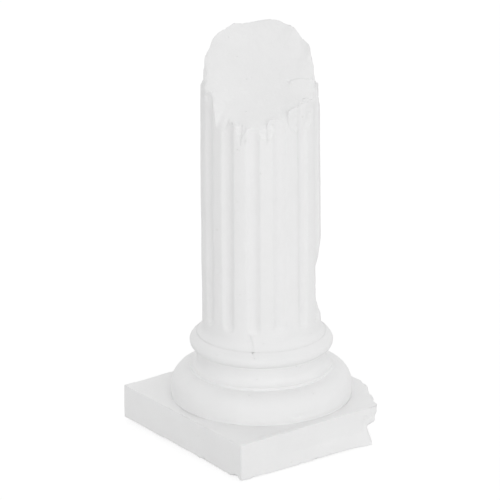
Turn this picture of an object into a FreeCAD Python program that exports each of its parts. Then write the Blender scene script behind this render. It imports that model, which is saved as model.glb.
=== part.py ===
import FreeCAD, Part
import math
import os

# A broken classical column cast in plaster: a square plinth, a moulded base
# and a fluted shaft whose top is broken off on a slant.
# Millimetres, +Z up. The origin is on the floor under the middle of the plinth.
# The plinth's sides lie along X and Y. Its sound front corner points to -X and -Y,
# the broken corner to +X and -Y, and the break at the top falls towards the front corner.

# Felt pads under the plinth
pad_radius = 11.0
pad_thickness = 2.0
pad_seat_depth = 1.0
pad_seat_clearance = 0.3
pad_inset = 30.0

# Plinth, with one corner broken off
plinth_side = 140.0
plinth_height = 26.0
plinth_corner_wear = 1.5
# The bite below the broken corner's lip, and where the lip turns upright, from the underside up
broken_waist_height_share = 0.39
broken_lip_height_share = 0.60
# Where the broken corner's edge runs: shares of half the side, from the right face to the front face
broken_top_shares = ((1.0, -0.37), (0.91, -0.59), (0.80, -0.78), (0.69, -1.0))
broken_waist_shares = ((1.0, -0.34), (0.82, -0.58), (0.68, -0.80), (0.57, -1.0))
broken_foot_shares = ((1.0, -0.40), (0.84, -0.62), (0.71, -0.84), (0.60, -1.03))
# Two more places on the front face, from the broken corner to the sound one: straight above,
# and standing out a little along the foot. Shares of half the side.
front_top_shares = ((0.30, -1.0), (-0.35, -1.0))
front_foot_shares = ((0.30, -1.03), (-0.35, -1.01))

# Base moulding, from the plinth up
lower_torus_foot_radius = 62.6
lower_torus_radius = 64.0
lower_torus_underside_height = 5.0
lower_torus_crown_height = 15.3
lower_fillet_radius = 50.0
lower_fillet_height = 2.0
scotia_foot_radius = 48.8
scotia_waist_radius = 45.4
scotia_top_radius = 46.4
scotia_height = 11.8
scotia_waist_share = 0.55
upper_fillet_radius = 46.8
upper_fillet_height = 1.9
upper_torus_radius = 50.4
upper_torus_underside_height = 4.6
upper_torus_crown_height = 6.3
upper_torus_top_radius = 42.4
# How full each quarter round is: for a quarter of an ellipse, 0.71 above its widest point
# and 0.29 below it
lower_crown_bend_share = 0.74
upper_crown_bend_share = 0.65
underside_bend_share = 0.29
# Straight steps that each round is turned in
underside_steps = 2
lower_crown_steps = 6
scotia_steps = 4
upper_crown_steps = 4

# Shaft
shaft_foot_radius = 42.0
shaft_taper = 1.6
shaft_length = 216.0
flute_count = 14
flute_width = 9.3
flute_depth = 2.1
flute_foot_gap = 11.2
first_flute_bearing = -134.0

# Slanting break at the shaft's top: heights over a square grid round the axis
break_rise_bearing = 53.4
break_middle_height = 186.4
break_slope_share = 0.66
break_reach_share = 1.2
# Rows run from the low side to the high side, and each row from left to right
# as seen from the low side. Shares of the shaft's foot radius.
break_relief_shares = (
    (0.04, 0.00, -0.01, 0.08, 0.06),
    (0.05, 0.03, 0.00, 0.04, 0.03),
    (0.02, 0.01, 0.00, 0.00, -0.02),
    (0.08, 0.07, 0.01, 0.07, 0.12),
    (0.10, 0.11, 0.11, 0.12, 0.12),
)
# Above this height the broken part has lost its skin, and more of it on the right
bare_height = 178.4
bare_depth = 2.6
bare_shift = 0.7

# Spall on the shaft's right side
spall_bearing = -38.0
spall_depth = 4.6
spall_length = 60.0
spall_middle_height = 33.0

# Steel tie rod and what it pulls on
rod_radius = 4.0
rod_bore_clearance = 0.75
rod_end_chamfer = 0.6
rod_stand_out = 3.0
rod_tail = 2.5
nut_width = 13.0
nut_height = 6.5
nut_bore_clearance = 0.03
nut_corner_share = 0.9
washer_radius = 12.0
washer_thickness = 2.0
washer_recess_radius = 14.0
washer_recess_depth = 12.5
anchor_plate_side = 36.0
anchor_plate_thickness = 4.0
anchor_plate_height = 75.0
cast_in_clearance = 0.1

# Beech pegs between the castings
peg_radius = 5.0
peg_length = 24.0
peg_socket_clearance = 0.15
peg_end_air = 0.6
plinth_peg_spacing = 70.0
shaft_peg_spacing = 46.0

# One overrun for every cut that passes through a face
overrun = 5.0
# Two places nearer than this are the same place
same_place = 0.1

# Levels worked out from the sizes above
plinth_foot_level = pad_thickness - pad_seat_depth
plinth_top_level = plinth_foot_level + plinth_height
lower_rim_level = plinth_top_level + lower_torus_underside_height
lower_crown_level = lower_rim_level + lower_torus_crown_height
scotia_foot_level = lower_crown_level + lower_fillet_height
scotia_top_level = scotia_foot_level + scotia_height
upper_torus_foot_level = scotia_top_level + upper_fillet_height
upper_rim_level = upper_torus_foot_level + upper_torus_underside_height
shaft_foot_level = upper_rim_level + upper_torus_crown_height
shaft_top_radius = shaft_foot_radius - shaft_taper
anchor_plate_level = shaft_foot_level + anchor_plate_height
washer_level = plinth_foot_level + washer_recess_depth
rod_nut_level = washer_level - washer_thickness - nut_height
rod_top_level = anchor_plate_level + anchor_plate_thickness + nut_height + rod_stand_out
rod_foot_level = rod_nut_level - rod_tail
half_side = plinth_side / 2
pad_offset = half_side - pad_inset
bore_radius = rod_radius + rod_bore_clearance


def at(x, y, z):
    """A point or a direction."""
    return FreeCAD.Vector(x, y, z)


def polar(radius, bearing, z):
    """The point at a radius and a bearing in degrees round the axis."""
    angle = math.radians(bearing)
    return at(radius * math.cos(angle), radius * math.sin(angle), z)


def rod_of(radius, foot, top, x=0.0, y=0.0):
    """An upright cylinder between two levels."""
    return Part.makeCylinder(radius, top - foot, at(x, y, foot))


def line(first, last):
    return Part.LineSegment(first, last).toShape()


def pair_places(spacing):
    """The two places of a pair of pegs, either side of the axis along X."""
    return [(side * spacing / 2, 0.0) for side in (-1, 1)]


def pad_places():
    """The four places of the pads, one near each corner."""
    return [(a * pad_offset, b * pad_offset) for a in (-1, 1) for b in (-1, 1)]


def plinth_section(z, broken_shares, front_shares):
    """The plinth's outline at one level: five sides, a worn corner and the broken edge."""
    front = at(-half_side, -half_side, z)
    wear_start = at(-half_side, half_side - plinth_corner_wear, z)
    wear_turn = plinth_corner_wear * (1 - math.sqrt(0.5))
    wear_middle = at(-half_side + wear_turn, half_side - wear_turn, z)
    wear_end = at(-half_side + plinth_corner_wear, half_side, z)
    back = at(half_side, half_side, z)
    broken = [at(half_side * x, half_side * y, z) for x, y in broken_shares]
    face = [at(half_side * x, half_side * y, z) for x, y in front_shares]
    return Part.Wire([
        line(front, wear_start),
        Part.Arc(wear_start, wear_middle, wear_end).toShape(),
        line(wear_end, back),
        line(back, broken[0]),
        Part.makePolygon(broken),
        Part.makePolygon([broken[-1]] + face + [front]),
    ])


def make_plinth():
    """Square slab in three straight lofts, so that the broken corner is undercut below its lip."""
    waist_level = plinth_foot_level + plinth_height * broken_waist_height_share
    lip_level = plinth_foot_level + plinth_height * broken_lip_height_share
    sections = [
        plinth_section(plinth_foot_level, broken_foot_shares, front_foot_shares),
        plinth_section(waist_level, broken_waist_shares, front_top_shares),
        plinth_section(lip_level, broken_top_shares, front_top_shares),
        plinth_section(plinth_top_level, broken_top_shares, front_top_shares),
    ]
    plinth = Part.makeLoft(sections, True, True)
    cuts = [
        rod_of(bore_radius, plinth_foot_level - overrun, plinth_top_level + overrun),
        rod_of(washer_recess_radius, plinth_foot_level - overrun, washer_level),
    ]
    seat_radius = pad_radius + pad_seat_clearance
    for x, y in pad_places():
        cuts.append(rod_of(seat_radius, plinth_foot_level - overrun, pad_thickness, x, y))
    cuts += peg_sockets(plinth_top_level, plinth_peg_spacing)
    return plinth.cut(cuts)


def peg_sockets(joint_level, spacing):
    """The sockets of a pair of pegs, cut into the castings both above and below a joint."""
    radius = peg_radius + peg_socket_clearance
    half = peg_length / 2
    foot = joint_level - half
    top = joint_level + half + peg_end_air
    return [rod_of(radius, foot, top, x, y) for x, y in pair_places(spacing)]


def turned_round(foot, middle, top, steps):
    """An arc of a turned outline, in short straight steps that keep the model light."""
    return Part.makePolygon(Part.Arc(foot, middle, top).toShape().discretize(steps + 1))


def quarter_round(foot, top, bend_share, steps):
    """A quarter round between two points of a turned outline, as full as the bend says."""
    middle = at(top.x + (foot.x - top.x) * bend_share, 0, foot.z + (top.z - foot.z) * bend_share)
    return turned_round(foot, middle, top, steps)


def make_base_moulding():
    """Attic base turned from one outline: torus, fillet, scotia, fillet, torus."""
    foot = at(lower_torus_foot_radius, 0, plinth_top_level)
    lower_rim = at(lower_torus_radius, 0, lower_rim_level)
    lower_crown = at(lower_fillet_radius, 0, lower_crown_level)
    lower_fillet = at(lower_fillet_radius, 0, scotia_foot_level)
    scotia_foot = at(scotia_foot_radius, 0, scotia_foot_level)
    waist_level = scotia_foot_level + scotia_height * scotia_waist_share
    scotia_waist = at(scotia_waist_radius, 0, waist_level)
    scotia_top = at(scotia_top_radius, 0, scotia_top_level)
    upper_fillet = at(upper_fillet_radius, 0, scotia_top_level)
    upper_foot = at(upper_fillet_radius, 0, upper_torus_foot_level)
    upper_rim = at(upper_torus_radius, 0, upper_rim_level)
    upper_crown = at(upper_torus_top_radius, 0, shaft_foot_level)
    axis_top = at(0, 0, shaft_foot_level)
    axis_foot = at(0, 0, plinth_top_level)
    outline = Part.Wire([
        quarter_round(foot, lower_rim, underside_bend_share, underside_steps),
        quarter_round(lower_rim, lower_crown, lower_crown_bend_share, lower_crown_steps),
        line(lower_crown, lower_fillet),
        line(lower_fillet, scotia_foot),
        turned_round(scotia_foot, scotia_waist, scotia_top, scotia_steps),
        line(scotia_top, upper_fillet),
        line(upper_fillet, upper_foot),
        quarter_round(upper_foot, upper_rim, underside_bend_share, underside_steps),
        quarter_round(upper_rim, upper_crown, upper_crown_bend_share, upper_crown_steps),
        line(upper_crown, axis_top),
        line(axis_top, axis_foot),
        line(axis_foot, foot),
    ])
    turned = Part.Face(outline).revolve(at(0, 0, 0), at(0, 0, 1), 360)
    cuts = [rod_of(bore_radius, plinth_top_level - overrun, shaft_foot_level + overrun)]
    cuts += peg_sockets(plinth_top_level, plinth_peg_spacing)
    cuts += peg_sockets(shaft_foot_level, shaft_peg_spacing)
    return turned.cut(cuts)


def flute_cutter():
    """One flute: a round-ended bar that leans in with the shaft's taper."""
    chord_depth = flute_depth - (shaft_foot_radius - math.sqrt(shaft_foot_radius ** 2 - flute_width ** 2 / 4))
    bar_radius = (flute_width ** 2 / 4 + chord_depth ** 2) / (2 * chord_depth)
    lean = math.degrees(math.atan(shaft_taper / shaft_length))
    foot = at(shaft_foot_radius - flute_depth + bar_radius, 0, shaft_foot_level + flute_foot_gap + flute_width / 2)
    bar = Part.makeCylinder(bar_radius, shaft_length, foot)
    cutter = bar.fuse(Part.makeSphere(bar_radius, foot))
    cutter.rotate(foot, at(0, 1, 0), -lean)
    return cutter


def break_cutter():
    """Everything above the slanting break: a smooth uneven sheet, carried straight up."""
    rows = []
    steps = len(break_relief_shares) - 1
    reach = shaft_foot_radius * break_reach_share
    for i, relief in enumerate(break_relief_shares):
        rise_side = reach * (2 * i / steps - 1)
        row = []
        for j, share in enumerate(relief):
            right_side = reach * (2 * j / steps - 1)
            z = shaft_foot_level + break_middle_height
            z += rise_side * break_slope_share + share * shaft_foot_radius
            row.append(at(rise_side, -right_side, z))
        rows.append(row)
    sheet = Part.BSplineSurface()
    sheet.interpolate(rows)
    cutter = sheet.toShape().extrude(at(0, 0, shaft_length))
    cutter.rotate(at(0, 0, 0), at(0, 0, 1), break_rise_bearing)
    return cutter


def bare_cutter():
    """Everything outside the bare part of the break, from its foot up."""
    foot = shaft_foot_level + bare_height
    top = shaft_foot_level + shaft_length + overrun
    shift = polar(bare_shift, break_rise_bearing + 90, foot)
    around = rod_of(shaft_foot_radius + overrun, foot, top)
    return around.cut(rod_of(shaft_top_radius - bare_depth, foot, top, shift.x, shift.y))


def spall_cutter():
    """A large ball that skims the shaft's right side."""
    radius = (spall_length ** 2 / 4 + spall_depth ** 2) / (2 * spall_depth)
    centre = polar(shaft_foot_radius - spall_depth + radius, spall_bearing, shaft_foot_level + spall_middle_height)
    return Part.makeSphere(radius, centre)


def hexagon(width, foot, top, grow=0.0):
    """A six-sided bar of the given width across its flats."""
    corner = (width / 2 + grow) / math.cos(math.pi / 6)
    points = [polar(corner, 60 * side, foot) for side in range(7)]
    return Part.Face(Part.makePolygon(points)).extrude(at(0, 0, top - foot))


def square_plate(side, foot, top, grow=0.0):
    """A square plate round the axis."""
    full = side + 2 * grow
    return Part.makeBox(full, full, top - foot, at(-full / 2, -full / 2, foot))


def anchor_pocket():
    """The hollow that the plate, the nut and the rod's end fill inside the shaft."""
    plate_top = anchor_plate_level + anchor_plate_thickness
    nut_top = plate_top + nut_height
    plate = square_plate(anchor_plate_side, anchor_plate_level, plate_top, cast_in_clearance)
    nut = hexagon(nut_width, plate_top, nut_top, cast_in_clearance)
    return [plate, nut, rod_of(bore_radius, shaft_foot_level - overrun, rod_top_level + cast_in_clearance)]


def make_shaft():
    """Tapered drum with spoon-ended flutes, a spall, the slanting break and its hidden hollows."""
    drum = Part.makeCone(shaft_foot_radius, shaft_top_radius, shaft_length, at(0, 0, shaft_foot_level))
    drum.rotate(at(0, 0, 0), at(0, 0, 1), first_flute_bearing)
    pattern = flute_cutter()
    flutes = []
    for index in range(flute_count):
        flute = pattern.copy()
        flute.rotate(at(0, 0, 0), at(0, 0, 1), first_flute_bearing + 360 * index / flute_count)
        flutes.append(flute)
    cuts = flutes + [break_cutter(), bare_cutter(), spall_cutter()]
    cuts += anchor_pocket() + peg_sockets(shaft_foot_level, shaft_peg_spacing)
    return drum.cut(cuts)


def is_level(edge):
    """True for an edge that lies at one height."""
    return edge.BoundBox.ZMax - edge.BoundBox.ZMin < same_place


def make_tie_rod():
    """Straight rod with chamfered ends. Its thread isn't cut."""
    rod = rod_of(rod_radius, rod_foot_level, rod_top_level)
    ends = [edge for edge in rod.Edges if is_level(edge)]
    return rod.makeChamfer(rod_end_chamfer, ends)


def make_nut(foot):
    """Hexagon nut with its corners turned off at both ends."""
    top = foot + nut_height
    corner_radius = nut_width / 2 / math.cos(math.pi / 6)
    turned = Part.makeCylinder(corner_radius, nut_height, at(0, 0, foot))
    ends = [edge for edge in turned.Edges if is_level(edge)]
    turned = turned.makeChamfer((corner_radius - nut_width / 2) * nut_corner_share, ends)
    nut = hexagon(nut_width, foot, top).common(turned)
    return nut.cut(rod_of(rod_radius + nut_bore_clearance, foot - overrun, top + overrun))


def make_anchor_plate():
    """Square plate with a hole for the rod."""
    top = anchor_plate_level + anchor_plate_thickness
    plate = square_plate(anchor_plate_side, anchor_plate_level, top)
    return plate.cut(rod_of(rod_radius + nut_bore_clearance, anchor_plate_level - overrun, top + overrun))


def make_washer():
    """Wide washer that spreads the nut's load over the plaster."""
    foot = washer_level - washer_thickness
    ring = rod_of(washer_radius, foot, washer_level)
    return ring.cut(rod_of(rod_radius + nut_bore_clearance, foot - overrun, washer_level + overrun))


def make_pegs(joint_level, spacing):
    """A pair of beech pegs, standing on their sockets' floors."""
    foot = joint_level - peg_length / 2
    return Part.makeCompound([rod_of(peg_radius, foot, foot + peg_length, x, y) for x, y in pair_places(spacing)])


def make_pads():
    """Four felt discs, each pressed into its seat."""
    return Part.makeCompound([rod_of(pad_radius, 0.0, pad_thickness, x, y) for x, y in pad_places()])


def main():
    """Builds every piece and writes each to its own file."""
    os.makedirs("parts", exist_ok=True)
    pieces = {
        "plinth": make_plinth(),
        "base_moulding": make_base_moulding(),
        "shaft": make_shaft(),
        "tie_rod": make_tie_rod(),
        "anchor_plate": make_anchor_plate(),
        "anchor_nut": make_nut(anchor_plate_level + anchor_plate_thickness),
        "rod_washer": make_washer(),
        "rod_nut": make_nut(rod_nut_level),
        "plinth_pegs": make_pegs(plinth_top_level, plinth_peg_spacing),
        "shaft_pegs": make_pegs(shaft_foot_level, shaft_peg_spacing),
        "felt_pads": make_pads(),
    }
    for name, shape in pieces.items():
        shape.exportStep("parts/" + name + ".step")
        print(name, "solids", len(shape.Solids), "valid", shape.isValid(), "volume", round(shape.Volume))


main()
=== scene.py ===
import math
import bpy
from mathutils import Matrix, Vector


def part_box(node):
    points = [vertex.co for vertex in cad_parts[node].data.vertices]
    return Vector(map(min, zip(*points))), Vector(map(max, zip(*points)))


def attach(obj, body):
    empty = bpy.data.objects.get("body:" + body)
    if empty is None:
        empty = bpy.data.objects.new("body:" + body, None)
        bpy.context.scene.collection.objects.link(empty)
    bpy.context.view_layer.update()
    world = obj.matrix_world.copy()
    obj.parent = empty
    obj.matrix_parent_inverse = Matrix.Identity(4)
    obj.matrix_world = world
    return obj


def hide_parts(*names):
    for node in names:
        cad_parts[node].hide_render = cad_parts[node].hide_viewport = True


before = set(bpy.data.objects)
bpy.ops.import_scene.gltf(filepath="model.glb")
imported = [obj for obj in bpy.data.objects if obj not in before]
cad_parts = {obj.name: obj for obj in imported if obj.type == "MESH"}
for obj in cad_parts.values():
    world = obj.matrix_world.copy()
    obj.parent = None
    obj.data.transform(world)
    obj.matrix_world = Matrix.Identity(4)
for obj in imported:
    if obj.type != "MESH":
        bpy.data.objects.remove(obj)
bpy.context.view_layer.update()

from types import SimpleNamespace

import bpy
import numpy as np
from mathutils import Matrix, Vector

bl_info = {
    "name": "Broken Plaster Column",
    "version": (1, 0, 0),
    "blender": (4, 5, 0),
    "location": "View3D > Sidebar > Column",
    "description": "Surfaces, finishes and stage for a broken column cast in plaster",
    "category": "Object",
}

# Formulas work in millimetres; Blender's lengths are metres.
MM = 0.001

# Turns are angles round the axis in degrees. They start at the viewer's side
# and grow towards the viewer's right. This is that side's bearing from +X.
VIEWER_BEARING = -126.57

# How far the break's rim stands over the plane of the break at each turn
RIM = (
    (-178, 1.3), (-165, 0.9), (-158, 2.3), (-152, 4.3), (-143, 3.4), (-134, 4.9), (-126, 4.8),
    (-118, 3.1), (-108, 3.2), (-99, 3.0), (-94, 0.8), (-85, 0.0), (-72, 1.5), (-59, 4.5),
    (-54, 1.3), (-50, -1.2), (-48, -8.5), (-46.8, -12),
    (-36.6, -8), (-31, -3.5), (-29, -1.3), (-27, -1.2), (-24, -4.8), (-22, -6.4), (-20.3, -9.6),
    (-18, -8), (-16, -6.6), (-13.5, -3.2), (-12, -2.1), (-8, -2.8), (0, -2.6), (4, -3.5), (5.8, -4),
    (7.6, 3.2), (9.2, 4.1), (19, 1.5), (26.4, 0.4), (27.5, 7.4), (35, 6.5), (45, 3.5), (51.5, 2.7), (58, 1.2),
    (62.6, -1.2), (74, -0.5), (90, -1.0), (101, 0.0), (103, 3.0), (105, 4.9), (108, 6.0), (112, 6.4),
    (117, 5.4), (123, 4.2), (130, 3.7), (139, 6.0), (150, 4.3), (158, 4.3), (168, 3.2),
)
# Bites out of the rim: turn and height of the middle, half width along the skin, half height,
# depth, and 1 for a straight-sided bite or 2 for a round one
BITES = (
    (-20.0, 161.8, 4.6, 16.5, 3.6, 1), (8.0, 160.0, 13.0, 9.0, 1.5, 2), (44.0, 163.0, 13.0, 12.0, 1.5, 2),
    (-64.0, 174.8, 4.0, 6.0, 1.6, 1), (-14.0, 150.5, 1.6, 1.6, 0.6, 2), (92.0, 177.0, 16.0, 17.0, 1.1, 2),
)
# How deep the spall on the right side goes, at each height over the shaft's foot
SPALL = (
    (8, 0.0), (12.7, 0.7), (15.7, 2.3), (18.6, 2.9), (21.6, 3.9), (27.6, 4.3), (33.5, 4.4), (45.4, 4.7),
    (48.3, 4.1), (51.3, 3.5), (54.2, 2.9), (57.1, 2.3), (60.1, 1.7), (63, 1.2), (69, 0.6), (78, 0.0),
)
# How much higher the spall lies for each step towards the viewer
SPALL_LEAN = 0.345
# Small chips on the shaft: turn and height of each, the radius of its ball and its depth
SHAFT_CHIPS = (
    (-45.5, 54, 9, 0.9), (-44.2, 62, 7, 0.8), (-46.8, 68, 6, 0.6),
    (-71.5, 120, 7, 0.7), (31.8, 130, 6, 0.5), (57.5, 92, 6, 0.5),
)
# The plinth's outline at its foot, waist and lip, as shares of half its side:
# sound front corner, left corner, back corner, broken right corner, front face
PLINTH_SOUND = ((-1.0, -1.0), (-1.0, 0.99), (-0.998, 0.998), (-0.99, 1.0), (1.0, 1.0))
PLINTH_FOOT = ((1.0, -0.40), (0.84, -0.62), (0.70, -0.84), (0.59, -1.06), (0.34, -1.04), (-0.35, -1.02))
PLINTH_WAIST = ((1.0, -0.34), (0.82, -0.58), (0.68, -0.80), (0.57, -1.0), (0.30, -1.0), (-0.35, -1.0))
PLINTH_LIP = ((1.0, -0.37), (0.91, -0.59), (0.80, -0.78), (0.69, -1.0), (0.30, -1.0), (-0.35, -1.0))

# The floor reaches this far each way
FLOOR_REACH = 6000

# CAD nodes that keep their shape, by the finish they get
KEPT_NODES = {
    "steel": ("anchor_plate", "anchor_nut", "rod_washer", "rod_nut"),
    "beech": ("plinth_pegs", "shaft_pegs"),
}

# The soft lamps: turn, height angle and strength of each
LAMPS = ((-60, 25, 0.18), (0, 25, 0.62), (40, 25, 0.47), (180, 45, 0.40), (-130, 25, 0.29), (120, 25, 0.30))


def box_mm(node):
    """A CAD node's lowest and highest corners in millimetres."""
    low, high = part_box(node)
    return np.array(low) / MM, np.array(high) / MM


SHAFT_LOW, SHAFT_HIGH = box_mm("shaft")


def in_mm(group):
    """A group's values by name, with its lengths in millimetres."""
    values = {}
    for name, prop in group.bl_rna.properties.items():
        if name not in ("rna_type", "name"):
            value = getattr(group, name)
            values[name] = value / MM if getattr(prop, "unit", "NONE") == "LENGTH" else value
    return SimpleNamespace(**values)


def rise(x, low, high):
    """0 below low, 1 above high, and 3tt - 2ttt between them."""
    t = np.clip((x - low) / (high - low), 0, 1)
    return t * t * (3 - 2 * t)


def scatter(cells, seed):
    """A repeatable number from 0 to 1 for each cell: its three whole coordinates and the seed,
    each times a large odd number, are added, mixed by shifts and cut to 32 bits."""
    x, y, z = np.moveaxis(cells.astype(np.int64), -1, 0)
    mixed = (x * 73856093 + y * 19349663 + z * 83492791 + seed * 2654435761) & 0xFFFFFFFF
    mixed = mixed.astype(np.uint64)
    for odd, shift in ((2246822519, 15), (3266489917, 13)):
        mixed = ((mixed ^ (mixed >> np.uint64(shift))) * np.uint64(odd)) & np.uint64(0xFFFFFFFF)
    return (mixed ^ (mixed >> np.uint64(16))) / 2.0 ** 32


def noise(points, grain, seed):
    """Smooth relief from -1 to 1: scattered numbers at the corners of cubes as large as the grain,
    blended along each axis by 3tt - 2ttt."""
    place = points / grain
    cell = np.floor(place)
    part = place - cell
    part = part * part * (3 - 2 * part)
    total = np.zeros(points.shape[:-1])
    for corner in np.ndindex(2, 2, 2):
        total += np.prod(np.where(corner, part, 1 - part), axis=-1) * scatter(cell + corner, seed)
    return 2 * total - 1


def rough(points, grain, seed, layers=3):
    """Noise in layers, each half as coarse and half as high as the last."""
    return sum(noise(points, grain / 2 ** n, seed + n) / 2 ** n for n in range(layers))


def layered(points, seed, *layers):
    """Smooth relief in layers: each layer's height times noise of its grain."""
    return sum(height * noise(points, grain, seed + n) for n, (height, grain) in enumerate(layers))


def facets(points, grain, seed):
    """Broken-stone relief from 0 to 1: the distance to the nearest of scattered places, one in
    each cube as large as the grain. Where two are equally near, it leaves a sharp crease."""
    place = points / grain
    cell = np.floor(place)
    nearest = np.ones(points.shape[:-1])
    for step in np.ndindex(3, 3, 3):
        near = cell + step - 1
        spot = near + np.stack([scatter(near, seed + axis) for axis in range(3)], axis=-1)
        nearest = np.minimum(nearest, np.linalg.norm(place - spot, axis=-1))
    return nearest


def scoop(points, centre, radius):
    """Hollows out what lies inside a ball: such points move away from its centre onto its skin."""
    away = points - centre
    reach = np.maximum(np.linalg.norm(away, axis=-1), 1e-6)
    return np.where((reach < radius)[..., None], centre + away * (radius / reach)[..., None], points)


def clip(points, place, normal, unevenness):
    """Breaks off what stands past a plane: such points go back along its normal to the plane."""
    normal = np.asarray(normal) / np.linalg.norm(normal)
    past = np.maximum(0, (points - place) @ normal + unevenness)
    return points - past[..., None] * normal


def turns(count):
    """Turns all round, evenly spaced."""
    return np.arange(count) * 360 / count


def facing(turn):
    """How far a turn faces the viewer, and how far it faces right: its cosine and its sine."""
    return np.stack([np.cos(np.radians(turn)), np.sin(np.radians(turn))])


def along_turn(radius, turn, z):
    """Points at a radius, a turn and a height: x and y are the radius times the cosine and sine
    of the turn's bearing."""
    bearing = np.radians(turn + VIEWER_BEARING)
    return np.stack(np.broadcast_arrays(radius * np.cos(bearing), radius * np.sin(bearing), z), axis=-1)


def arc_from(turn, other, radius):
    """Distance round a circle from another turn, at most half way round to either side."""
    return np.radians((turn - other + 180) % 360 - 180) * radius


def crack_depth(beside):
    """Depth of a hairline crack: 0.7 times 1 - t, where t is the distance from its middle."""
    return 0.7 * np.maximum(0, 1 - np.abs(beside))


def outward(grid):
    """Each point's direction out of the surface: the cross product of the steps to the next
    column and to the next row. The last row is followed by the first."""
    across = np.roll(grid, -1, axis=1) - np.roll(grid, 1, axis=1)
    up = np.roll(grid, -1, axis=0) - np.roll(grid, 1, axis=0)
    normal = np.cross(across, up)
    return normal / np.maximum(np.linalg.norm(normal, axis=-1, keepdims=True), 1e-9)


def soften(grid, passes, weight=1.0):
    """Wears sharp edges: each pass mixes every point with the mean of its neighbours in the rows
    below and above, and the weight says how much of the change is kept. The last row is followed
    by the first."""
    worn = grid
    for _ in range(passes):
        worn = (np.roll(worn, 1, axis=0) + 2 * worn + np.roll(worn, -1, axis=0)) / 4
    return grid + (worn - grid) * np.asarray(weight)[..., None]


def casting(name, grid, broken, ends=None):
    """A closed mesh from a grid of points whose columns join up all round. With ends, a point
    closes the first and the last row. Without, the last row joins up with the first.
    Broken is kept on the mesh for the finish: 0 on moulded skin, 1 where it is broken."""
    rows, columns = grid.shape[:2]
    points = grid.reshape(-1, 3)
    marks = np.broadcast_to(broken, grid.shape[:2]).reshape(-1)
    here = np.arange(rows * columns).reshape(rows, columns)
    right = np.roll(here, -1, axis=1)
    if ends is None:
        above, above_right = np.roll(here, -1, axis=0), np.roll(right, -1, axis=0)
        faces = np.stack([here, right, above_right, above], axis=-1).reshape(-1, 4).tolist()
    else:
        faces = np.stack([here[:-1], right[:-1], right[1:], here[1:]], axis=-1).reshape(-1, 4).tolist()
        first, last = np.full(columns, len(points)), np.full(columns, len(points) + 1)
        faces += np.stack([first, right[0], here[0]], axis=-1).tolist()
        faces += np.stack([here[-1], right[-1], last], axis=-1).tolist()
        points = np.vstack([points, ends])
        marks = np.append(marks, [marks[0], marks[-1]])
    return mesh_piece(name, points, faces, marks)


def mesh_piece(name, points, faces, marks=None):
    """An object at the origin whose mesh holds the points, given in millimetres."""
    mesh = bpy.data.meshes.new(name)
    mesh.from_pydata((np.asarray(points) * MM).tolist(), [], faces)
    mesh.polygons.foreach_set("use_smooth", [True] * len(mesh.polygons))
    if marks is not None:
        mesh.attributes.new("broken", "FLOAT", "POINT").data.foreach_set("value", marks)
    mesh.update()
    piece = bpy.data.objects.new(name, mesh)
    bpy.context.scene.collection.objects.link(piece)
    return piece


def seat(context, name, node, slot, grid, broken, ends=None):
    """Casts a new piece, gives it its slot's finish and puts it in the place of a CAD node."""
    piece = casting(name, grid, broken, ends)
    piece.data.materials.append(finish_of(context, slot))
    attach(piece, "root")
    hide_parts(node)


# Shaft


def shaft_skin(turn, height, s):
    """Radius of the plain cone, and of the moulded skin: the cone less each flute's hollow. Across
    a flute the hollow is 1 - tt of its depth, where t is the distance from its middle in half
    widths; past its foot that distance is taken to the flute's end, so the end is round. The
    arris is worn by taking (h + sqrt(hh + ww)) / 2 in place of h above zero, and the power 0.85
    of that makes the hollow fuller. A small cove of plaster spreads the foot: its width times the
    square of 1 - t, where t is the height over twice the width."""
    cone = s.foot_radius + (s.top_radius - s.foot_radius) * height / s.full_length
    cove = s.foot_cove * np.maximum(0, 1 - height / (2 * s.foot_cove)) ** 2
    step = 360 / s.flute_count
    beside = (turn - s.first_flute + step / 2) % step - step / 2
    across = np.radians(beside) * cone
    beyond = np.maximum(0, s.flute_foot_gap + s.flute_width / 2 - height)
    hollow = 1 - (across ** 2 + beyond ** 2) / (s.flute_width / 2) ** 2
    hollow = ((hollow + np.sqrt(hollow ** 2 + s.arris_wear ** 2)) / 2) ** 0.85
    return cone, cone + cove - s.flute_depth * hollow


def break_plane(near, s):
    """Height of the break's plane over the foot, at a distance towards the viewer."""
    return s.break_middle - s.break_fall * near / s.foot_radius


def shaft_side(turn, height, s):
    """Radius of the shaft's side and how far it is broken back there. The radius is the least of
    the skin's, the spall's, the bites' and the thin part's. The spall is a chord across the side,
    and it leans.
    Each bite takes its depth times 1 - u - v off the cone, or 1 - uu - vv for a round one, where u
    and v are the distances from its middle in half widths and half heights. Near the break the
    whole skin has come off but for the front, and a crack runs down from a flute's foot."""
    cone, skin = shaft_skin(turn, height, s)
    front, side = facing(turn)
    depth = np.interp(height - SPALL_LEAN * s.foot_radius * front, *np.array(SPALL).T)
    chord = (s.foot_radius - depth) / np.maximum(facing(turn - s.spall_turn)[0], 0.3)
    left = np.where(depth > 0, np.minimum(skin, chord), skin)

    place = along_turn(s.foot_radius, turn, height)
    ragged = noise(place, 5.0, 11) + 0.5 * noise(place, 1.8, 12)
    for bite_turn, bite_height, half_width, half_height, deep, power in BITES:
        u = np.abs(arc_from(turn, bite_turn, s.foot_radius)) / half_width
        v = np.abs(height - bite_height) / half_height
        bite = deep * np.minimum(1, (1 - u ** power - v ** power + 0.12 * ragged) * 1.5)
        left = np.where(bite > 0, np.minimum(left, cone - bite), left)

    edge = s.bare_height + 1.2 * ragged
    thin = 2.0 + 1.5 * rise(side, 0.2, 0.75) - 2.0 * rise(front, 0.1, 0.45) + 0.2 * ragged
    thin = thin * rise(height, edge - 0.7, edge + 0.7)
    left = np.where(thin > 0.2, np.minimum(left, cone - thin), left)

    crack_turn = -7.5 - 4.5 * height / 13
    crack = crack_depth(arc_from(turn, crack_turn, s.foot_radius)) * (1 - rise(height, 11, 14))
    return left - crack, skin - left + crack


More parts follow.
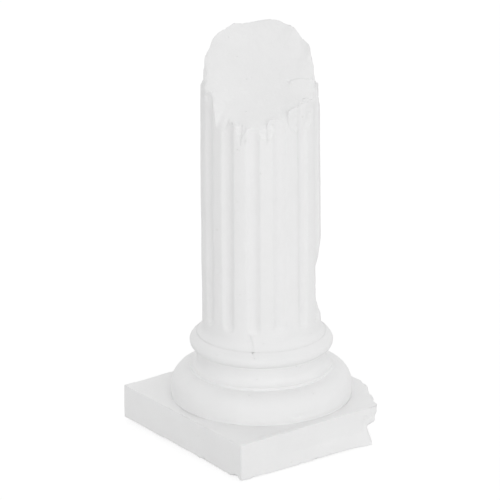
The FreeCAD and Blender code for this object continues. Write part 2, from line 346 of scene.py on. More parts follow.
def shaft_surface(s):
    """Grid of the shaft's skin and break, rows first. The rows go from the bore out over the
    bottom, up the side to the rim in shares of the rim's height, and over the break to its middle.
    The side bulges by 0.3 times the sine of its height taken as degrees, and is worn at the left."""
    turn, foot = turns(440), SHAFT_LOW[2]
    front, right = facing(turn)
    lift = np.interp(turn, *np.array(RIM).T, period=360)
    rim_radius = s.top_radius
    for _ in range(3):
        rim = break_plane(rim_radius * front, s) + lift
        rim_radius, _ = shaft_side(turn, rim, s)
    rim = rim + 0.4 * noise(along_turn(s.foot_radius, turn, rim), 2.2, 31) - 0.25

    share = np.concatenate([[0, 0.0002], np.linspace(0.004, 0.1, 16), np.linspace(0.1, 0.86, 84)[1:],
                            np.linspace(0.86, 1, 56)[1:]])
    height = share[:, None] * rim
    radius, damage = shaft_side(turn, height, s)
    broken = rise(damage, 0.08, 0.5)
    below = rim - height
    crumbled = 0.4 + 0.6 * noise(along_turn(s.foot_radius, turn, 0), 4.0, 13)
    radius = radius - np.maximum(0, s.rim_chip * crumbled * np.maximum(0, 1 - below / 1.6))
    side = along_turn(radius, turn, foot + height)
    swell = layered(side, 41, (0.22, 26.0), (0.1, 8.0), (0.04, 2.6))
    grit = 0.35 * rough(side, 4.0, 44) + 0.5 * (facets(side, 5.0, 47) - 0.5)
    worn_left = 0.55 * rise(-right, 0.5, 0.95) * (1 - rise(height, 78, 100))
    barrel = 0.3 * np.sin(np.radians(height)) - worn_left
    side = along_turn(radius + (swell + barrel) * rise(height, 0, 4) + broken * grit, turn, foot + height)

    inward = np.linspace(0, 1, 58)[1:-1] ** 1.3
    rim_radius = np.linalg.norm(side[-1, :, :2], axis=-1)
    top = along_turn((1 - inward[:, None]) * rim_radius, turn, foot)
    top[..., 2] = foot + break_height((1 - inward)[:, None], turn, rim, rim_radius, s, top)
    middle = top[-1, :, 2].mean()

    under = np.array([s.bore_radius, s.bore_radius, 12.0, 26.0, 38.0, s.foot_radius - 0.6])
    under_z = foot + np.array([s.bore_height, 0, 0, 0, 0, 0])
    bottom = along_turn(under[:, None], turn, under_z[:, None])
    grid = np.concatenate([bottom, side, top])
    side_marks = np.maximum(broken, rise(-below, -1.5, -0.3))
    marks = np.concatenate([np.zeros(bottom.shape[:2]), side_marks, np.ones(top.shape[:2])])
    for chip_turn, chip_height, size, depth in SHAFT_CHIPS:
        centre = along_turn(s.foot_radius - depth + size, chip_turn, foot + chip_height)
        grid = scoop(grid, centre, size + 0.4 * noise(grid, 2.5, 51))
    ends = [(0, 0, foot + s.bore_height), (0, 0, middle)]
    return grid, marks, ends


def flake(near, right, uneven, edge, end, length):
    """Relief of a flake that stands on the break: a groove and a rise at its edge, then a fall back
    to the ground over its length towards the viewer. It begins right of its end."""
    near, beside = near + uneven, rise(right + uneven, end, end + 3)
    groove = np.exp(-((near - edge + 0.7) / 0.8) ** 2)
    fall = np.clip(1 - (near - edge - 1) / length, 0, 1)
    return beside * (1.7 * rise(near, edge, edge + 1) * fall - 2.0 * groove)


def break_ground(near, right, s):
    """Height of the break without its rim: the plane, which curves up to the left and down to
    the front, and is hollow by 1 - tt, where t is the distance towards the viewer in radii. A
    valley runs out to the rim at the left of the front."""
    hollow = s.hollow * (1 - (near / s.foot_radius) ** 2)
    front = s.front_fall * rise(near, 22, 41) * (1 - rise(right, 1, 12))
    out, beside = 0.77 * near - 0.64 * right, 0.64 * near + 0.77 * right
    valley = s.valley_fall * rise(out, 19, 40) * (1 - rise(-beside, 3, 10)) * (1 - rise(beside, 5, 20))
    return break_plane(near, s) + s.left_rise * rise(-right, 4, 36) - hollow - front - valley


def break_height(share, turn, rim, rim_radius, s, points):
    """Height of the break over the foot. A bevel falls to the rim where the ground stands over it,
    but no further than its drop. What is left between ground and rim is spread inwards like a
    skin stretched over the rim: each wave fades with the share of the radius to the power of its
    number plus 2. Relief and two flakes lie over it all and die out at the rim."""
    rim_near, rim_right = rim_radius * facing(turn)
    near, right = share * rim_near, share * rim_right
    over_rim = break_ground(rim_near, rim_right, s) - rim
    drop = np.clip(over_rim, 0, s.bevel_drop)
    waves = np.fft.rfft(drop - over_rim)
    spread = np.fft.irfft(waves * share ** (np.arange(len(waves)) + 2), len(turn), axis=1)
    inside = (1 - share) * rim_radius
    height = break_ground(near, right, s) + spread - np.maximum(drop - s.bevel_slope * inside, 0)
    uneven = noise(points, 5.0, 60)
    relief = layered(points, 61, (0.35, 22.0), (0.22, 9.0), (0.09, 3.5))
    relief = relief + 0.06 * rough(points, 1.5, 64, 2)
    relief = relief + 0.6 * noise(points, 8.0, 65) * rise(share, 0.5, 0.85) * rise(right - near, 5, 30)
    flakes = flake(near, right, uneven, 4.8, 18, 10) + flake(near, right, uneven, 19.3, 28, 5)
    return height + rise(inside, 0.0, 3.0) * (relief + flakes)


# Base moulding


def quarter(foot, top, widest, count, powers=(1.0, 1.0)):
    """Points of a quarter round between two points of an outline, upright at its widest end. For
    angles from 0 to 90 degrees the shares of its run and rise are 1 - cos and sin from a wide
    foot, and sin and 1 - cos to a wide top. Powers of the cos and sin make it fuller or leaner."""
    angle = np.linspace(0, math.pi / 2, count)[:, None]
    cosine, sine = np.maximum(np.cos(angle), 0) ** powers[0], np.sin(angle) ** powers[1]
    share = np.hstack([1 - cosine, sine] if widest == "foot" else [sine, 1 - cosine])
    return foot + np.subtract(top, foot) * share


def moulding_outline(s, height):
    """Half the section of the Attic base, from its bottom edge up and in along its top: radii and
    heights over the plinth. A small cove fills the corner on the plinth. Each round is a quarter
    round. The scotia spreads from its waist by tt, where t runs from -1 at its foot to 1 at its
    top, times a reach that changes evenly from the foot's to the top's."""
    rim = s.torus_undercut_height
    crown = rim + s.torus_crown_height
    scotia = crown + s.fillet_height
    neck = scotia + s.scotia_height
    upper = neck + s.upper_fillet_height
    upper_rim = upper + s.upper_undercut_height
    t = np.linspace(-1, 1, 26)
    spread = (1 - t) / 2 * (s.scotia_foot - s.scotia_waist) + (1 + t) / 2 * (s.scotia_top - s.scotia_waist)
    bow = s.scotia_waist + spread * t * t
    stretches = [
        quarter((s.torus_foot + s.foot_cove, 0), (s.torus_foot, 1.5 * s.foot_cove), "top", 8),
        quarter((s.torus_foot, 1.5 * s.foot_cove), (s.torus_radius, rim), "top", 8),
        quarter((s.torus_radius, rim), (s.fillet_radius, crown), "foot", 40, (0.98, 0.74)),
        np.linspace((s.fillet_radius, crown), (s.fillet_radius, scotia), 5),
        np.linspace((s.fillet_radius, scotia), (s.scotia_foot, scotia), 4),
        np.column_stack([bow, scotia + (t + 1) / 2 * s.scotia_height]),
        np.linspace((s.scotia_top, neck), (s.upper_fillet, neck), 4),
        np.linspace((s.upper_fillet, neck), (s.upper_fillet, upper), 5),
        quarter((s.upper_fillet, upper), (s.upper_torus_radius, upper_rim), "top", 10),
        quarter((s.upper_torus_radius, upper_rim), (s.upper_torus_top, height), "foot", 24, (2.4, 1.03)),
    ]
    return np.vstack([stretch[:-1] for stretch in stretches] + [stretches[-1][-1:]])


def moulding_surface(s):
    """Grid of the base moulding: its outline turned round the axis, then in along the top, down
    the bore and out along the bottom."""
    low, high = box_mm("base_moulding")
    foot, top = low[2], high[2]
    turn = turns(420)
    outline = moulding_outline(s, top - foot)
    hidden = [(30.0, top - foot), (s.bore_radius, top - foot), (s.bore_radius, 0), (30.0, 0),
              (s.torus_foot - 2, 0)]
    path = np.vstack([outline, hidden])
    grid = along_turn(path[:, :1], turn, foot + path[:, 1:])
    shown = np.arange(len(path)) < len(outline) - 1
    free = (shown & (path[:, 1] > 0.4))[:, None]
    grid = np.where(free[..., None], soften(grid, 2), grid)
    normal = outward(grid)
    swell = layered(grid, 71, (0.3, 30.0), (0.14, 9.0), (0.05, 3.0))
    height = grid[..., 2] - foot
    from_axis = np.hypot(grid[..., 0], grid[..., 1])
    swell = swell * rise(height, 0.3, 2.5) * rise(from_axis, s.upper_torus_top, s.upper_torus_top + 4)
    chipped = np.maximum(0, noise(grid, 9.0, 75) - 0.45) * rise(height, 2, 4) * (1 - rise(height, 5, 7)) * 2.2
    crack_turn = -6.0 - 1.6 * (height - 40) / 7
    crack = crack_depth(arc_from(turn, crack_turn, s.upper_torus_top)) * rise(height, 43.5, 46)
    away = crack + chipped
    grid = grid + normal * ((swell - away) * free)[..., None]
    marks = rise(away, 0.1, 0.5) * free
    return grid, marks


# Plinth


def polygon_radius(corners, turn):
    """Distance from the axis to a polygon in each direction. Its corners run clockwise seen from
    above. For the side that the direction crosses, it is the cross product of the side's first
    corner and its run, over that of the direction and the run. A side that runs along the
    direction gives infinity, which is never the least."""
    corners = np.asarray(corners)
    bearing = np.radians(turn + VIEWER_BEARING)
    way = np.stack([np.cos(bearing), np.sin(bearing)], axis=-1)
    following = np.roll(corners, -1, axis=0)
    run = following - corners
    start = np.arctan2(following[:, 1], following[:, 0])
    span = (np.arctan2(corners[:, 1], corners[:, 0]) - start) % (2 * math.pi)
    inside = (bearing[:, None] - start + 1e-9) % (2 * math.pi) <= span + 2e-9
    cross = corners[:, 0] * run[:, 1] - corners[:, 1] * run[:, 0]
    with np.errstate(divide="ignore"):
        reach = cross / (way[:, :1] * run[:, 1] - way[:, 1:] * run[:, 0])
    return np.where(inside, reach, np.inf).min(axis=1)


def pad_centres(s):
    """The middles of the four felt pads."""
    return [(x, y) for x in (-s.pad_offset, s.pad_offset) for y in (-s.pad_offset, s.pad_offset)]


def plinth_surface(s):
    """Grid of the plinth. Its rows go down the bore, over the washer's recess, out under the
    bottom, up the four sides and the broken corner, and in over the top. The outline is a polygon
    at the foot, the waist and the lip, runs straight between them, and is upright from lip to top."""
    low, high = box_mm("plinth")
    foot, top = low[2], high[2]
    half = high[0]
    turn = turns(600) - VIEWER_BEARING
    outlines = (PLINTH_FOOT, PLINTH_WAIST, PLINTH_LIP)
    levels = [half * polygon_radius(PLINTH_SOUND + part, turn) for part in outlines]
    up = np.concatenate([[0, 0.012, 0.03], np.linspace(0.06, 0.94, 34), [0.97, 0.988, 1]])[:, None]
    to_waist = np.clip(up / s.waist_share, 0, 1)
    to_lip = np.clip((up - s.waist_share) / (s.lip_share - s.waist_share), 0, 1)
    side_radius = levels[0] + (levels[1] - levels[0]) * to_waist + (levels[2] - levels[1]) * to_lip
    side = along_turn(side_radius, turn, foot + (top - foot) * up)

    ceiling = foot + s.recess_depth
    bore = along_turn(s.bore_radius, turn, np.array([[top], [ceiling]]))
    recess_radius = np.array([[s.recess_radius * 0.6], [s.recess_radius], [s.recess_radius]])
    recess = along_turn(recess_radius, turn, np.array([[ceiling], [ceiling], [foot + 2]]))

    spread = np.linspace(0, 1, 40)[:-1, None] ** 0.9
    under = along_turn(s.recess_radius + (levels[0] - s.recess_radius) * spread, turn, foot)
    from_pad = np.min([np.hypot(under[..., 0] - x, under[..., 1] - y) for x, y in pad_centres(s)], axis=0)
    under[..., 2] += s.pad_seat_depth * (1 - rise(from_pad, s.pad_radius - 2.2, s.pad_radius - 0.8))

    inward = np.concatenate([np.linspace(0, 0.5, 40)[1:] ** 1.1, [0.62, 0.8]])[:, None]
    over = along_turn(levels[2] + (s.bore_radius - levels[2]) * inward, turn, top)
    grid = np.concatenate([bore, recess, under, side, over])
    start = len(bore) + len(recess) + len(under)
    is_side = np.zeros(len(grid), bool)
    is_side[start:start + len(side)] = True

    x, y, z = np.moveaxis(grid, -1, 0)
    corner = rise(x - y, 1.36 * half, 1.44 * half) * rise(x, 0.5 * half, 0.56 * half) * is_side[:, None]
    edge_near = np.maximum(rise(z, top - 5, top - 1), 1 - rise(z, foot + 1, foot + 4))
    worn = 0.35 + 0.65 * rise(noise(grid, 14.0, 81), -0.2, 0.7)
    near_side = np.any([np.roll(is_side, rows) for rows in (-2, -1, 0, 1, 2)], axis=0)
    grid = soften(grid, 6, worn * near_side[:, None])
    normal = outward(grid)
    visible = np.ones(len(grid))
    visible[:len(bore) + len(recess) + 1] = 0
    swell = layered(grid, 82, (0.25, 34.0), (0.13, 11.0), (0.05, 3.2))
    crumble = 1.5 * rough(grid, 9.0, 85) + 1.6 * (facets(grid, 8.0, 88) - 0.55)
    grid = grid + normal * ((swell - 0.12) * visible[:, None] + corner * crumble)[..., None]
    nicks = np.maximum(0, noise(grid, 6.5, 91) - 0.4) * edge_near * is_side[:, None] * 1.6
    grid = grid - normal * nicks[..., None]

    # The worn foot of the left face, the chip at the front corner's foot, the sagging foot of the
    # right face, and the crack along its top edge
    sound = 4 * (1 - rise(y, -0.6 * half, -0.2 * half))
    grid = clip(grid, (-half, 0, foot + 1.4), (-1, 0, -2.4), 0.5 * noise(grid, 9.0, 94) - sound)
    chip = 3 * np.maximum(0, 1 - ((y + half - 6.5) / 7) ** 2) - 0.8
    grid = clip(grid, (-half, 0, foot), (-1, 0, -1.2), chip)
    sag = (0.45 + 0.4 * rise(x, 0.3 * half, 0.55 * half)) * rise(-y, 0.92 * half, 0.99 * half)
    grid[..., 2] -= sag * (1 - rise(grid[..., 2], foot + 1.5, foot + 9))
    over_face = np.abs(y + half - 5.2 - 0.6 * noise(grid, 7.0, 93)) / 0.9
    along = rise(x, -54, -46) * (1 - rise(x, -20, -12))
    crack = np.maximum(0, 1 - over_face) * along * rise(z, top - 1, top - 0.5)
    grid[..., 2] -= crack
    marks = np.maximum(corner, rise(nicks, 0.1, 0.4))
    marks = np.maximum(marks, rise(crack, 0.1, 0.5))
    # Only the worn foot may stand past the CAD piece's box, a little to the front and down
    return np.clip(grid, low - (0, 1.8, 0.9), high), marks


# Fittings


def rod_surface(s):
    """Grid of the threaded rod: the radius falls from the crest by the thread's depth times a
    flattened triangle wave of height over pitch less turn over 360, and both ends are chamfered
    by cutting the radius in step with the distance to the end."""
    low, high = box_mm("tie_rod")
    crest = high[0]
    turn = turns(24)
    z = np.linspace(low[2], high[2], int((high[2] - low[2]) / s.thread_pitch * 8))[:, None]
    wave = np.abs(((z / s.thread_pitch - turn / 360) % 1) * 2 - 1)
    radius = crest - s.thread_depth * np.clip(wave * 1.4 - 0.2, 0, 1)
    to_end = np.minimum(z - low[2], high[2] - z)
    radius = np.minimum(radius, crest - 0.8 + to_end)
    return along_turn(radius, turn, z), 0.0, [(0, 0, low[2]), (0, 0, high[2])]


def felt_disc(centre, s, seed):
    """Grid of one felt disc: rows over its bottom, up its side and over its top. The side bulges
    as the square root of 1 - tt, where t runs from -1 at the bottom to 1 at the top. The relief
    of loose fibres pushes it in and out."""
    (_, _, low), (_, _, high) = box_mm("felt_pads")
    turn = turns(72)
    t = np.linspace(-1, 1, 9)
    side = s.pad_radius - 0.55 + 0.5 * np.sqrt(np.maximum(0, 1 - t ** 2))
    flat = np.array([0.2, 0.45, 0.7, 0.9]) * side[0]
    radius = np.concatenate([flat, side, flat[::-1]])[:, None]
    middle, half = (low + high) / 2, (high - low) / 2
    level = np.concatenate([np.full(4, low), middle + t * half, np.full(4, high)])[:, None]
    grid = along_turn(radius, turn, level)
    shift = np.array([centre[0], centre[1], 0.0])
    fibres = 0.16 * rough(grid + shift, 0.9, seed)
    reach = np.where(np.abs(level - middle) < half - 1e-6, fibres, 0.3 * fibres)
    grid = along_turn(radius + reach, turn, level)
    return grid + shift, 0.0, [shift + (0, 0, low), shift + (0, 0, high)]


# Finishes


class Wire:
    """A number that changes over a surface. Sums with it add Math nodes."""

    def __init__(self, bench, socket):
        self.bench, self.socket = bench, socket

    def sum(self, operation, first, second):
        return self.bench.node("Math", {0: first, 1: second}, operation=operation)

    def __add__(self, other):
        return self.sum("ADD", self, other)

    def __sub__(self, other):
        return self.sum("SUBTRACT", self, other)

    def __rsub__(self, other):
        return self.sum("SUBTRACT", other, self)

    def __mul__(self, other):
        return self.sum("MULTIPLY", self, other)

    __radd__, __rmul__ = __add__, __mul__


class Bench:
    """Where one finish is put together."""

    def __init__(self, owner):
        owner.use_nodes = True
        self.tree = owner.node_tree
        self.tree.nodes.clear()

    def node(self, kind, sockets=(), output=0, **settings):
        """Adds a node: its type, the values or links of its sockets, which of its outputs is
        wanted, and its settings."""
        made = self.tree.nodes.new("ShaderNode" + kind)
        for name, value in settings.items():
            setattr(made, name, value)
        for name, value in dict(sockets).items():
            if isinstance(value, Wire):
                self.tree.links.new(value.socket, made.inputs[name])
            else:
                made.inputs[name].default_value = value
        return Wire(self, made.outputs[output]) if made.outputs else None

    def drawn_out(self, place, *scale):
        """Places that draw a pattern out along each axis whose scale is under 1."""
        return self.node("Mapping", {"Vector": place, "Scale": scale})

    def noise(self, place, grain, detail=2.0, roughness=0.5):
        """Blender's noise at a grain in millimetres."""
        sockets = {"Vector": place, "Scale": 1 / (grain * MM), "Detail": detail, "Roughness": roughness}
        return self.node("TexNoise", sockets, "Fac")

    def ramp(self, value, low, high, start=0.0, end=1.0):
        """A smooth change from start to end as the value goes from low to high."""
        sockets = {"Value": value, "From Min": low, "From Max": high, "To Min": start, "To Max": end}
        return self.node("MapRange", sockets, interpolation_type="SMOOTHSTEP")

    def blend(self, share, first, second):
        """A colour between two colours."""
        return self.node("Mix", {0: share, 6: first, 7: second}, 2, data_type="RGBA")

    def bump(self, height):
        """A normal from a height in millimetres."""
        return self.node("Bump", {"Strength": 1.0, "Distance": MM, "Height": height}, "Normal")

    def surface(self, **sockets):
        """The shader itself, joined to the output."""
        named = {name.replace("_", " "): value for name, value in sockets.items()}
        self.output(self.node("BsdfPrincipled", named))

    def output(self, shader, kind="OutputMaterial"):
        self.node(kind, {"Surface": shader})


def shade(colour, factor):
    """A colour made lighter or darker."""
    return tuple(channel * factor for channel in colour[:3]) + (1.0,)


def plaster_finish(b, place, look):
    """Matt white plaster: clouds and fine grain, small air holes that are dented and hold painted shade, and
    a coarser bare grain where the casting is broken."""
    broken = b.node("Attribute", output="Fac", attribute_name="broken")
    clouds = b.noise(place, 22.0, 3.0, 0.6)
    grain = b.noise(place, 1.1, 3.0, 0.6)
    grit = b.noise(place, 2.6, 4.0, 0.65)
    holes = b.node("TexVoronoi", {"Vector": place, "Scale": 1 / (5.5 * MM)}, "Distance")
    sparse = b.ramp(b.noise(place, 9.0, 1.0), 0.5, 0.62)
    pits_and_painted_shade = b.ramp(holes, 0.05, 0.1, 1.0, 0.0) * sparse
    # The air holes are dented by the bump and also painted darker here: painted shade in the holes.
    tone = 0.5 + (clouds - 0.5) * 0.9 + (grain - 0.5) * 0.35 - pits_and_painted_shade * 0.9 + broken * 0.12
    colour = b.blend(tone, shade(look.plaster_colour, 0.965), shade(look.plaster_colour, 1.03))
    height = grain * 0.045 + broken * grit * 0.28 - pits_and_painted_shade * 0.25
    roughness = 0.78 + broken * 0.12 + (clouds - 0.5) * 0.1
    b.surface(Base_Color=colour, Roughness=roughness, Normal=b.bump(height), IOR=1.45)


def steel_finish(b, place, look):
    """Zinc-plated steel: clouded plating with short fine scratches and a little dull bloom."""
    clouds = b.noise(place, 3.5, 3.0, 0.6)
    scratches = b.noise(b.drawn_out(place, 1.0, 1.0, 0.08), 0.25, 2.0)
    bloom = b.ramp(b.noise(place, 1.4, 4.0, 0.7), 0.55, 0.75)
    tone = 0.45 + (clouds - 0.5) * 1.2 + (scratches - 0.5) * 0.5
    metal = b.blend(tone, shade(look.steel_colour, 0.8), shade(look.steel_colour, 1.15))
    colour = b.blend(bloom * 0.5, metal, (0.62, 0.62, 0.6, 1.0))
    roughness = 0.28 + bloom * 0.3 + (scratches - 0.5) * 0.2
    relief = b.bump(scratches * 0.012 + bloom * 0.01)
    b.surface(Base_Color=colour, Metallic=1 - bloom * 0.35, Roughness=roughness, Normal=relief)


def beech_finish(b, place, look):
    """Turned beech: grain drawn out along the peg, with short dark flecks."""
    grain = b.noise(b.drawn_out(place, 1.0, 1.0, 0.07), 1.2, 4.0, 0.6)
    flecks = b.ramp(b.noise(b.drawn_out(place, 1.0, 1.0, 0.22), 0.35, 1.0), 0.62, 0.7)
    colour = b.blend(grain, shade(look.beech_colour, 0.78), shade(look.beech_colour, 1.12))
    colour = b.blend(flecks * 0.6, colour, shade(look.beech_colour, 0.42))
    b.surface(Base_Color=colour, Roughness=0.5 + grain * 0.2, Normal=b.bump(grain * 0.05 - flecks * 0.03))


def felt_finish(b, place, look):
    """Pressed wool felt: crossed fibres, lighter tips and a soft sheen."""
    fibres = b.noise(b.drawn_out(place, 1.0, 0.16, 1.0), 0.22, 3.0, 0.7)
    crossing = b.noise(b.drawn_out(place, 0.16, 1.0, 1.0), 0.25, 3.0, 0.7)
    clumps = b.noise(place, 2.4, 2.0)
    weave = (fibres + crossing) * 0.5
    colour = b.blend(weave * 0.8 + clumps * 0.3, shade(look.felt_colour, 0.5), shade(look.felt_colour, 1.7))
    relief = b.bump(weave * 0.22 + clumps * 0.1)
    b.surface(Base_Color=colour, Roughness=0.95, Normal=relief, Sheen_Weight=0.35)


# Stage


WHITE = (1.0, 1.0, 1.0, 1.0)


def is_seen(b):
    """1 for rays from the camera and for reflections and refractions, 0 for light that falls."""
    names = ("Is Camera Ray", "Is Glossy Ray", "Is Transmission Ray")
    direct, mirrored, through = [b.node("LightPath", output=name) for name in names]
    return direct.sum("MAXIMUM", direct.sum("MAXIMUM", direct, mirrored), through)


def floor_finish(light):
    """Pale floor. Seen directly it is mostly plain white and keeps a faint shadow."""
    finish = bpy.data.materials.new("pale_floor")
    b = Bench(finish)
    matt = b.node("BsdfDiffuse", {"Color": shade(light.floor_colour, 1.0)})
    white = b.node("Emission", {"Color": WHITE, "Strength": light.white_level})
    b.output(b.node("MixShader", {0: is_seen(b) * light.white_share, 1: matt, 2: white}))
    return finish


def world_light(light):
    """White all round: plain white where it is seen, and the given level where it lights."""
    world = bpy.data.worlds.new("white_room")
    b = Bench(world)
    lit = b.node("Background", {"Color": WHITE, "Strength": light.room_level})
    white = b.node("Background", {"Color": WHITE, "Strength": 1.0})
    b.output(b.node("MixShader", {0: is_seen(b), 1: lit, 2: white}), "OutputWorld")
    return world


def aim(light):
    """The camera's turn and place, from its bearing, height angle, roll and distance and the
    point it is aimed at."""
    side, up = light.view_side, light.view_height
    back = Vector((math.sin(side) * math.cos(up), -math.cos(side) * math.cos(up), math.sin(up)))
    right = Vector((math.cos(side), math.sin(side), 0.0))
    above = back.cross(right)
    tilt = light.view_roll
    right_rolled = right * math.cos(tilt) + above * math.sin(tilt)
    above_rolled = above * math.cos(tilt) - right * math.sin(tilt)
    place = Vector((0, 0, light.aim_height)) + right * light.aim_right + back * light.view_distance
    turned = Matrix((right_rolled, above_rolled, back)).transposed().to_4x4()
    return Matrix.Translation(place) @ turned


# What a user may change


def number(name, default, description, **more):
    return bpy.props.FloatProperty(name=name, description=description, default=default, **more)


def length(name, default, description):
    return number(name, default * MM, description, unit="LENGTH", precision=4)


def angle(name, default, description):
    return number(name, math.radians(default), description, subtype="ANGLE")


def colour(name, default, description):
    return bpy.props.FloatVectorProperty(name=name, description=description, default=default,
                                         size=3, min=0, max=1, subtype="COLOR")


class RodBore:
    bore_radius: length("Bore radius", 4.75, "Radius of the hole for the tie rod")


class PadPlaces:
    pad_offset: length("Pad offset", 40.0, "Distance of the felt pads from the middle, along each side")
    pad_radius: length("Pad radius", 11.0, "Radius of a felt pad")


class ShaftSizes(RodBore, bpy.types.PropertyGroup):
    foot_radius: length("Foot radius", SHAFT_HIGH[0], "Radius of the plain band at the shaft's foot")
    top_radius: length("Top radius", 40.4, "Radius of the unbroken shaft at its full length")
    full_length: length("Full length", 216.0, "Length over which the shaft tapers")
    flute_count: bpy.props.IntProperty(name="Flutes", description="Number of flutes round the shaft",
                                       default=14, min=3)
    flute_width: length("Flute width", 9.3, "Width of a flute at the skin")
    flute_depth: length("Flute depth", 2.1, "Depth of a flute at its middle")
    flute_foot_gap: length("Flute foot gap", 11.3, "Plain band below the flutes")
    first_flute: number("First flute", -7.43, "Turn of one flute from the viewer's side, in degrees")
    arris_wear: number("Arris wear", 0.2, "How far the flutes' edges are rubbed round, as a share of depth")
    foot_cove: length("Foot cove", 3.3, "How far a cove of plaster spreads the shaft's foot")
    bare_height: length("Bare height", 178.4, "Height over the foot above which the skin has come off")
    break_middle: length("Break height", 186.6, "Height of the break's middle over the shaft's foot")
    break_fall: length("Break fall", 27.7, "How far the break falls from its middle to the low side")
    rim_chip: length("Rim chips", 0.8, "How deep the edge of the break is crumbled")
    spall_turn: number("Spall turn", 88.6, "Turn of the spall on the right side, in degrees")
    left_rise: length("Left rise", 5.5, "How far the break curves up at the left over its plane")
    hollow: length("Hollow", 3.0, "How deep the break is hollowed out")
    front_fall: length("Front fall", 2.4, "How far the break curves down at the front under its plane")
    valley_fall: length("Valley fall", 5.8, "How far the break falls in the valley at the left of its front")
    bevel_drop: length("Bevel drop", 3.6, "How far the bevels fall at the low parts of the break's rim")
    bevel_slope: number("Bevel slope", 1.25, "Steepness of the bevels", min=0.1)
    bore_height: length("Bore height", 88.0, "How far the hole for the tie rod goes up")


class MouldingSizes(RodBore, bpy.types.PropertyGroup):
    torus_foot: length("Torus foot", 63.1, "Radius where the lower torus meets the plinth")
    torus_radius: length("Torus radius", 63.9, "Radius of the lower torus at its rim")
    foot_cove: length("Foot cove", 0.6, "How far a cove of plaster fills the corner on the plinth")
    torus_undercut_height: length("Torus undercut", 4.3, "Height of the lower torus' rim over the plinth")
    torus_crown_height: length("Torus crown", 16.0, "Height of the lower torus over its rim")
    fillet_radius: length("Fillet radius", 50.0, "Radius of the lower fillet")
    fillet_height: length("Fillet height", 2.0, "Height of the lower fillet")
    scotia_foot: length("Scotia foot", 48.8, "Radius of the scotia at its foot")
    scotia_waist: length("Scotia waist", 45.4, "Radius of the scotia at its waist")
    scotia_top: length("Scotia top", 46.4, "Radius of the scotia at its top")
    scotia_height: length("Scotia height", 11.8, "Height of the scotia")
    upper_fillet: length("Upper fillet", 46.8, "Radius of the upper fillet")
    upper_fillet_height: length("Upper fillet height", 1.9, "Height of the upper fillet")
    upper_undercut_height: length("Upper undercut", 4.6, "Height of the upper torus' rim over its foot")
    upper_torus_radius: length("Upper torus radius", 50.4, "Radius of the upper torus at its rim")
    upper_torus_top: length("Upper torus top", 45.4, "Radius where the upper torus meets the shaft")


class PlinthSizes(RodBore, PadPlaces, bpy.types.PropertyGroup):
    waist_share: number("Waist share", 0.37, "Height of the deepest bite in the broken corner, as a share",
                        subtype="FACTOR")
    lip_share: number("Lip share", 0.56, "Height from which the broken corner is upright, as a share",
                      subtype="FACTOR")
    recess_radius: length("Recess radius", 14.0, "Radius of the washer's recess")
    recess_depth: length("Recess depth", 12.5, "Depth of the washer's recess")
    pad_seat_depth: length("Pad seat depth", 1.0, "How far a felt pad is let into the plinth")


class Fittings(PadPlaces, bpy.types.PropertyGroup):
    thread_pitch: length("Thread pitch", 1.25, "Pitch of the tie rod's thread")
    thread_depth: length("Thread depth", 0.62, "Depth of the tie rod's thread")


class Looks(bpy.types.PropertyGroup):
    plaster_colour: colour("Plaster", (0.86, 0.86, 0.86), "Colour of the cast plaster")
    steel_colour: colour("Steel", (0.5, 0.51, 0.52), "Colour of the zinc-plated steel")
    beech_colour: colour("Beech", (0.56, 0.36, 0.2), "Colour of the beech pegs")
    felt_colour: colour("Felt", (0.12, 0.12, 0.125), "Colour of the felt pads")


class StageLight(bpy.types.PropertyGroup):
    view_side: angle("View side", -36.57, "Bearing of the camera from -Y")
    view_height: angle("View height", 19.174, "Angle of the camera over the floor")
    view_roll: angle("View roll", -0.355, "Roll of the camera")
    view_distance: length("View distance", 2000.0, "Distance of the camera")
    aim_right: length("Aim right", -7.477, "How far right of the axis the camera is aimed")
    aim_height: length("Aim height", 132.858, "Height at which the camera is aimed")
    focal_length: number("Focal length", 207.2, "Focal length of the camera in millimetres")
    lamp_strength: number("Lamp strength", 0.985, "Strength of all the soft lamps together")
    lamp_spread: angle("Lamp spread", 48.0, "How large each soft lamp looks")
    room_level: number("Room level", 0.553, "Light that comes from all round")
    floor_colour: colour("Floor", (0.85, 0.85, 0.85), "Colour of the floor as it lights the column")
    white_share: number("White share", 0.72, "How far the seen floor is plain white", subtype="FACTOR")
    white_level: number("White level", 1.13, "Brightness of the seen floor's white part")


# Operators


class MakeShaft(bpy.types.Operator):
    """Fluted shaft with its spall, its cracks and the slanting break"""
    bl_idname = "column.shaft"
    bl_label = "Shaft"

    def execute(self, context):
        surface = shaft_surface(in_mm(context.scene.column_shaft))
        seat(context, "fluted_shaft", "shaft", "plaster", *surface)
        return {"FINISHED"}


class MakeMoulding(bpy.types.Operator):
    """Attic base: torus, fillet, scotia, fillet, torus"""
    bl_idname = "column.moulding"
    bl_label = "Base moulding"

    def execute(self, context):
        surface = moulding_surface(in_mm(context.scene.column_moulding))
        seat(context, "attic_base", "base_moulding", "plaster", *surface)
        return {"FINISHED"}


class MakePlinth(bpy.types.Operator):
    """Square plinth with one corner broken off"""
    bl_idname = "column.plinth"
    bl_label = "Plinth"

    def execute(self, context):
        surface = plinth_surface(in_mm(context.scene.column_plinth))
        seat(context, "square_plinth", "plinth", "plaster", *surface)
        return {"FINISHED"}


class MakeRod(bpy.types.Operator):
    """Threaded tie rod"""
    bl_idname = "column.rod"
    bl_label = "Tie rod"

    def execute(self, context):
        surface = rod_surface(in_mm(context.scene.column_fittings))
        seat(context, "threaded_rod", "tie_rod", "steel", *surface)
        return {"FINISHED"}


class MakePads(bpy.types.Operator):
    """Four felt pads under the plinth"""
    bl_idname = "column.pads"
    bl_label = "Felt pads"

    def execute(self, context):
        s = in_mm(context.scene.column_fittings)
        for count, centre in enumerate(pad_centres(s), 1):
            seat(context, "felt_pad_%d" % count, "felt_pads", "felt", *felt_disc(centre, s, 100 + count))
        return {"FINISHED"}


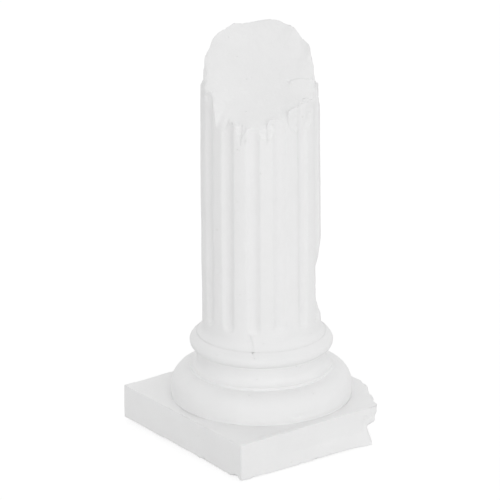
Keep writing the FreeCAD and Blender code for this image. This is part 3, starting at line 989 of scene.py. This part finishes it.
class FinishFittings(bpy.types.Operator):
    """Steel and beech on the fittings whose CAD shape stays"""
    bl_idname = "column.fittings"
    bl_label = "Steel fittings and pegs"

    def execute(self, context):
        for slot, nodes in KEPT_NODES.items():
            for node in nodes:
                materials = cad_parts[node].data.materials
                materials.clear()
                materials.append(finish_of(context, slot))
        return {"FINISHED"}


class MakeStage(bpy.types.Operator):
    """Pale floor, soft light all round, soft lamps and the camera"""
    bl_idname = "column.stage"
    bl_label = "Stage"

    def execute(self, context):
        light = context.scene.column_light
        corners = [(FLOOR_REACH * x, FLOOR_REACH * y, 0) for x, y in ((-1, -1), (1, -1), (1, 1), (-1, 1))]
        floor = mesh_piece("floor", corners, [(0, 1, 2, 3)])
        floor.data.materials.append(floor_finish(light))
        context.scene.world = world_light(light)

        for count, (turn, height, strength) in enumerate(LAMPS, 1):
            sun = bpy.data.lights.new("soft_lamp_%d" % count, "SUN")
            sun.energy, sun.angle = strength * light.lamp_strength, light.lamp_spread
            lamp = bpy.data.objects.new(sun.name, sun)
            way = Vector(along_turn(1.0, turn, math.tan(math.radians(height))))
            lamp.rotation_euler = way.to_track_quat("Z", "Y").to_euler()
            context.scene.collection.objects.link(lamp)

        camera = bpy.data.objects.new("camera", bpy.data.cameras.new("camera"))
        camera.data.lens, camera.data.sensor_width = light.focal_length, 36.0
        camera.data.clip_end = 100.0
        camera.matrix_world = aim(light)
        context.scene.collection.objects.link(camera)
        context.scene.camera = camera
        context.scene.view_settings.view_transform = "Standard"
        return {"FINISHED"}


class ColumnPanel(bpy.types.Panel):
    """Every step of the column"""
    bl_idname = "VIEW3D_PT_column"
    bl_label = "Broken plaster column"
    bl_space_type = "VIEW_3D"
    bl_region_type = "UI"
    bl_category = "Column"

    def draw(self, context):
        for operator in OPERATORS:
            self.layout.operator(operator.bl_idname)


FINISHES = {"plaster": ("matt_plaster", plaster_finish), "steel": ("zinc_plated_steel", steel_finish),
            "beech": ("beech", beech_finish), "felt": ("grey_felt", felt_finish)}
made_finishes = {}


def finish_of(context, slot):
    """A slot's finish, made the first time that it is asked for."""
    if slot not in made_finishes:
        name, make = FINISHES[slot]
        made_finishes[slot] = bpy.data.materials.new(name)
        b = Bench(made_finishes[slot])
        make(b, b.node("TexCoord", output="Object"), context.scene.column_looks)
    return made_finishes[slot]


GROUPS = {"column_shaft": ShaftSizes, "column_moulding": MouldingSizes, "column_plinth": PlinthSizes,
          "column_fittings": Fittings, "column_looks": Looks, "column_light": StageLight}
OPERATORS = (MakePlinth, MakeMoulding, MakeShaft, MakeRod, MakePads, FinishFittings, MakeStage)


def register():
    for made in (*GROUPS.values(), *OPERATORS, ColumnPanel):
        bpy.utils.register_class(made)
    for name, group in GROUPS.items():
        setattr(bpy.types.Scene, name, bpy.props.PointerProperty(type=group))


def unregister():
    for name in GROUPS:
        delattr(bpy.types.Scene, name)
    for made in (ColumnPanel, *reversed(OPERATORS), *reversed(GROUPS.values())):
        bpy.utils.unregister_class(made)


def main():
    register()
    bpy.ops.column.plinth()
    bpy.ops.column.moulding()
    bpy.ops.column.shaft()
    bpy.ops.column.rod()
    bpy.ops.column.pads()
    bpy.ops.column.fittings()
    bpy.ops.column.stage()


if __name__ == "__main__":
    main()
